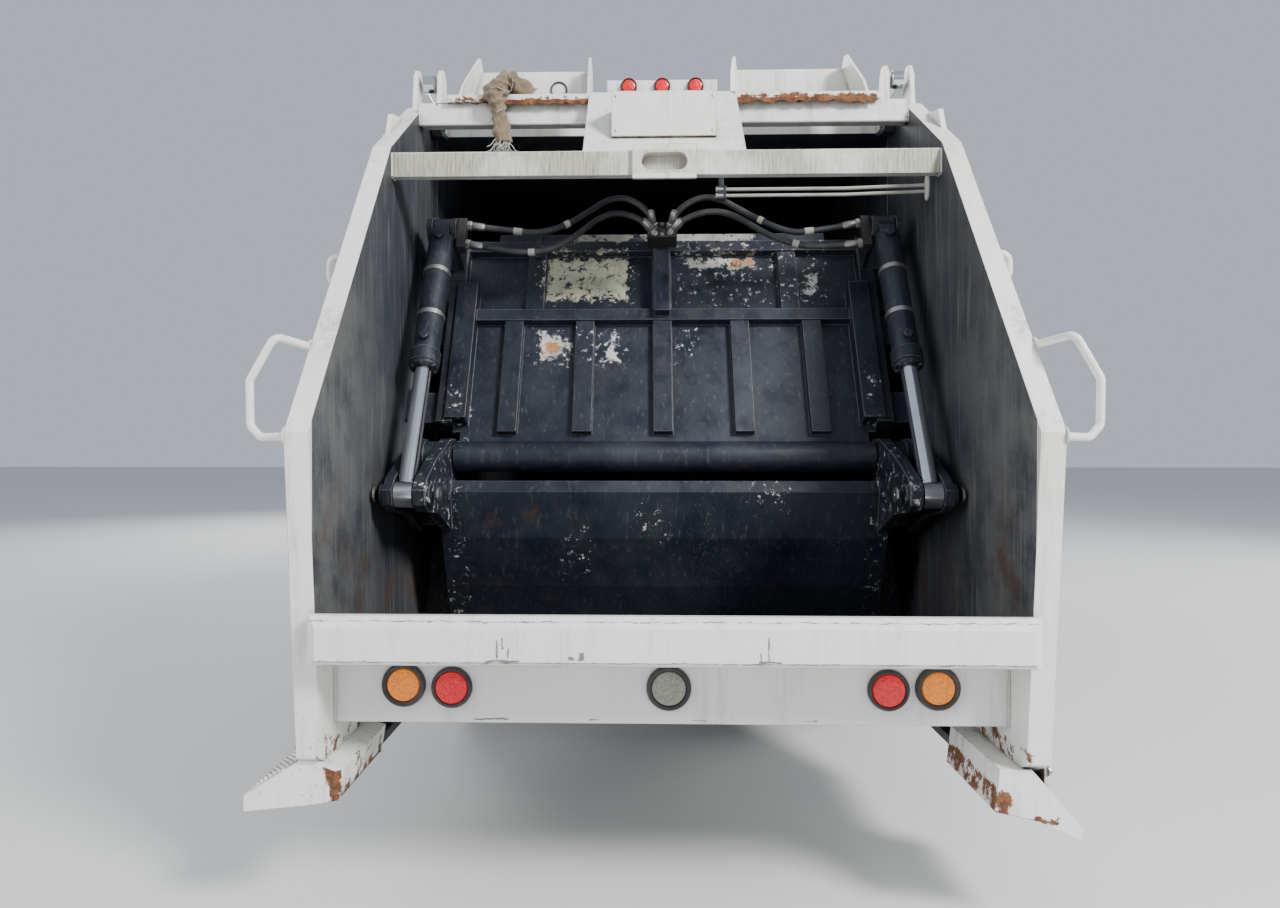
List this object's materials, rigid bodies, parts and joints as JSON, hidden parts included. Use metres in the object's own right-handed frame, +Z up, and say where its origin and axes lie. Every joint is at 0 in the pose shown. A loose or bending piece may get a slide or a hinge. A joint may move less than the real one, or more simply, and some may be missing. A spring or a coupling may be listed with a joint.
{
  "type": "rear-loading garbage truck",
  "caption": "Rear-loading garbage truck with a lifting tailgate, packer slide and sweep blade, push-out panel, steering and turning wheels.",
  "frame": {"origin": "middle of the footprint, on the ground", "axes": "+Y towards the cab, +X to the truck's right, +Z up"},
  "size_m": [2.86, 9.45, 3.466],
  "materials": {
    "white_paint": "weathered white paint",
    "black_paint": "worn black paint over steel",
    "frame_paint": "dull black chassis paint",
    "steel": "bare worked steel",
    "chrome_rod": "hard chrome rod with an eye",
    "cast": "cast iron",
    "tyre": "black tyre rubber",
    "wheel_paint": "white wheel paint",
    "glass": "clear glass",
    "interior": "moulded cab trim",
    "seat_cloth": "woven seat cloth",
    "trim": "black moulded plastic",
    "lamp_red": "red lens in a black ring",
    "lamp_amber": "amber lens in a black ring",
    "lamp_clear": "clear lens in a black ring",
    "aluminium": "polished aluminium",
    "hose": "black hydraulic hose"
  },
  "bodies": {
    "chassis": {"chassis_frame": "frame_paint", "front_axle": "cast", "rear_axles": "cast", "suspension": "frame_paint", "engine": "cast", "fuel_tank": "aluminium", "hydraulic_tank": "frame_paint", "exhaust_stack": "steel", "cab_shell": "white_paint", "cab_back": "white_paint", "cab_roof": "white_paint", "cab_floor": "white_paint", "cab_glass": "glass", "cab_interior": "interior", "seats": "seat_cloth", "front_bumper": "white_paint", "grille": "trim", "headlamps": "lamp_clear", "mirrors": "trim", "body_shell": "white_paint", "mudguards": "trim"},
    "door_left": {"door_left": "white_paint", "door_glass_left": "glass"},
    "knuckle_left": {"knuckle_left": "cast"},
    "front_wheel_left": {"tyre_front_left": "tyre", "wheel_front_left": "wheel_paint"},
    "middle_wheel_left": {"tyre_middle_left": "tyre", "wheel_middle_left": "wheel_paint"},
    "rear_wheel_left": {"tyre_rear_left": "tyre", "wheel_rear_left": "wheel_paint"},
    "door_right": {"door_right": "white_paint", "door_glass_right": "glass"},
    "knuckle_right": {"knuckle_right": "cast"},
    "front_wheel_right": {"tyre_front_right": "tyre", "wheel_front_right": "wheel_paint"},
    "middle_wheel_right": {"tyre_middle_right": "tyre", "wheel_middle_right": "wheel_paint"},
    "rear_wheel_right": {"tyre_rear_right": "tyre", "wheel_rear_right": "wheel_paint"},
    "tie_rod": {"tie_rod": "cast"},
    "ejector": {"ejector_panel": "black_paint"},
    "tailgate": {"tailgate_sides": "white_paint", "hopper_floor": "black_paint", "hopper_sill": "white_paint", "tail_frame": "white_paint", "lamps_red": "lamp_red", "lamps_amber": "lamp_amber", "lamp_clear": "lamp_clear", "riding_steps": "white_paint", "grab_rails": "white_paint", "slide_barrels": "black_paint"},
    "slide": {"packer_slide": "black_paint", "slide_rods": "chrome_rod", "packer_hoses": "hose"},
    "blade": {"sweep_blade": "black_paint"},
    "sweep_barrels": {"sweep_barrels": "black_paint"},
    "sweep_rods": {"sweep_rods": "chrome_rod"},
    "lift_barrels": {"lift_barrels": "black_paint"},
    "lift_rods": {"lift_rods": "chrome_rod"}
  },
  "joints": [
    {"name": "steer_left", "type": "hinge", "parent": "chassis", "child": "knuckle_left", "pos_m": [-0.88, 3.325, 0.525], "axis": [0, 0, 1], "range_deg": [-35, 35]},
    {"name": "steer_right", "type": "hinge", "parent": "chassis", "child": "knuckle_right", "pos_m": [0.88, 3.325, 0.525], "axis": [0, 0, 1], "range_deg": [-35, 35]},
    {"name": "tie_rod_turn", "type": "hinge", "parent": "knuckle_left", "child": "tie_rod", "pos_m": [-0.88, 3.145, 0.41], "axis": [0, 0, 1], "range_deg": [-35, 35]},
    {"name": "front_wheel_left_spin", "type": "hinge", "parent": "knuckle_left", "child": "front_wheel_left", "pos_m": [0, 3.325, 0.525], "axis": [-1, 0, 0], "continuous": true},
    {"name": "front_wheel_right_spin", "type": "hinge", "parent": "knuckle_right", "child": "front_wheel_right", "pos_m": [0, 3.325, 0.525], "axis": [-1, 0, 0], "continuous": true},
    {"name": "middle_wheel_left_spin", "type": "hinge", "parent": "chassis", "child": "middle_wheel_left", "pos_m": [0, -0.355, 0.525], "axis": [-1, 0, 0], "continuous": true},
    {"name": "middle_wheel_right_spin", "type": "hinge", "parent": "chassis", "child": "middle_wheel_right", "pos_m": [0, -0.355, 0.525], "axis": [-1, 0, 0], "continuous": true},
    {"name": "rear_wheel_left_spin", "type": "hinge", "parent": "chassis", "child": "rear_wheel_left", "pos_m": [0, -1.675, 0.525], "axis": [-1, 0, 0], "continuous": true},
    {"name": "rear_wheel_right_spin", "type": "hinge", "parent": "chassis", "child": "rear_wheel_right", "pos_m": [0, -1.675, 0.525], "axis": [-1, 0, 0], "continuous": true},
    {"name": "door_left_open", "type": "hinge", "parent": "chassis", "child": "door_left", "pos_m": [-1.152, 4.491, 1.8], "axis": [0, 0, -1], "range_deg": [0, 70]},
    {"name": "door_right_open", "type": "hinge", "parent": "chassis", "child": "door_right", "pos_m": [1.152, 4.491, 1.8], "axis": [0, 0, 1], "range_deg": [0, 70]},
    {"name": "ejector_push", "type": "slide", "parent": "chassis", "child": "ejector", "axis": [0, -1, 0], "range_m": [0, 4]},
    {"name": "tailgate_lift", "type": "hinge", "parent": "chassis", "child": "tailgate", "pos_m": [0, -2.975, 3.215], "axis": [-1, 0, 0], "range_deg": [0, 80]},
    {"name": "lift_barrel_swing", "type": "hinge", "parent": "chassis", "child": "lift_barrels", "pos_m": [0, -1.825, 3.345], "axis": [-1, 0, 0], "range_deg": [0, 0.7476]},
    {"name": "lift_rod_slide", "type": "slide", "parent": "lift_barrels", "child": "lift_rods", "axis": [0, 0.9999, -0.0156], "range_m": [0, 0.25922]},
    {"name": "packer_slide_up", "type": "slide", "parent": "tailgate", "child": "slide", "axis": [0, 0.454, 0.891], "range_m": [0, 0.55]},
    {"name": "blade_sweep", "type": "hinge", "parent": "slide", "child": "blade", "pos_m": [0, -3.53, 1.57], "axis": [-1, 0, 0], "range_deg": [0, 60]},
    {"name": "sweep_barrel_swing", "type": "hinge", "parent": "slide", "child": "sweep_barrels", "pos_m": [0, -3.34768, 2.61065], "axis": [-1, 0, 0], "range_deg": [0, 9.37]},
    {"name": "sweep_rod_slide", "type": "slide", "parent": "sweep_barrels", "child": "sweep_rods", "axis": [0, 0.5031, 0.8642], "range_m": [0, 0.4931]}
  ],
  "couplings": [
    {"joint": "steer_right", "follows": "steer_left", "ratio": 1},
    {"joint": "tie_rod_turn", "follows": "steer_left", "ratio": -1},
    {"joint": "lift_barrel_swing", "follows": "tailgate_lift", "ratio": 0.009095},
    {"joint": "lift_rod_slide", "follows": "tailgate_lift", "m_per_rad": 0.18551},
    {"joint": "sweep_barrel_swing", "follows": "blade_sweep", "ratio": 0.15577},
    {"joint": "sweep_rod_slide", "follows": "blade_sweep", "m_per_rad": 0.47069}
  ]
}
